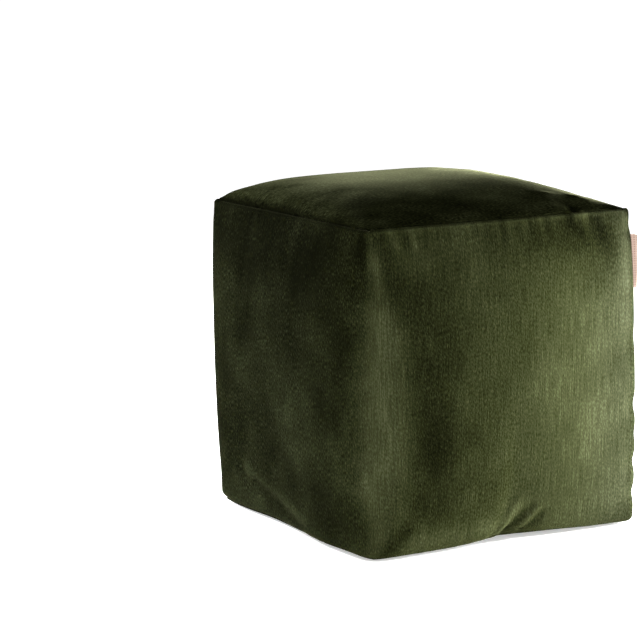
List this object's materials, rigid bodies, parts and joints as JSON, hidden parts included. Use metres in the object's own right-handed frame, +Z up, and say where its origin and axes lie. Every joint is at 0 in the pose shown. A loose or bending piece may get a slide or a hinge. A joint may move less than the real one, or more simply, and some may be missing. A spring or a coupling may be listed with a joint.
{
  "type": "cube pouf stool",
  "caption": "Filled velvet cube pouf with a crowned top panel, rolled top seam lip, soft upright corners and a blank woven side label.",
  "frame": {"origin": "middle of the flat base, on the floor", "axes": "+Z up; the front wall faces -Y, the left wall faces -X, and the side label is in the front right seam"},
  "size_m": [0.399, 0.401, 0.4159],
  "materials": {
    "velvet": "short cut pile, olive green, soft sheen",
    "woven_tape": "fine woven tape, matt, pale pink"
  },
  "bodies": {
    "root": {"filled_cover": "velvet", "side_label": "woven_tape"}
  },
  "joints": []
}
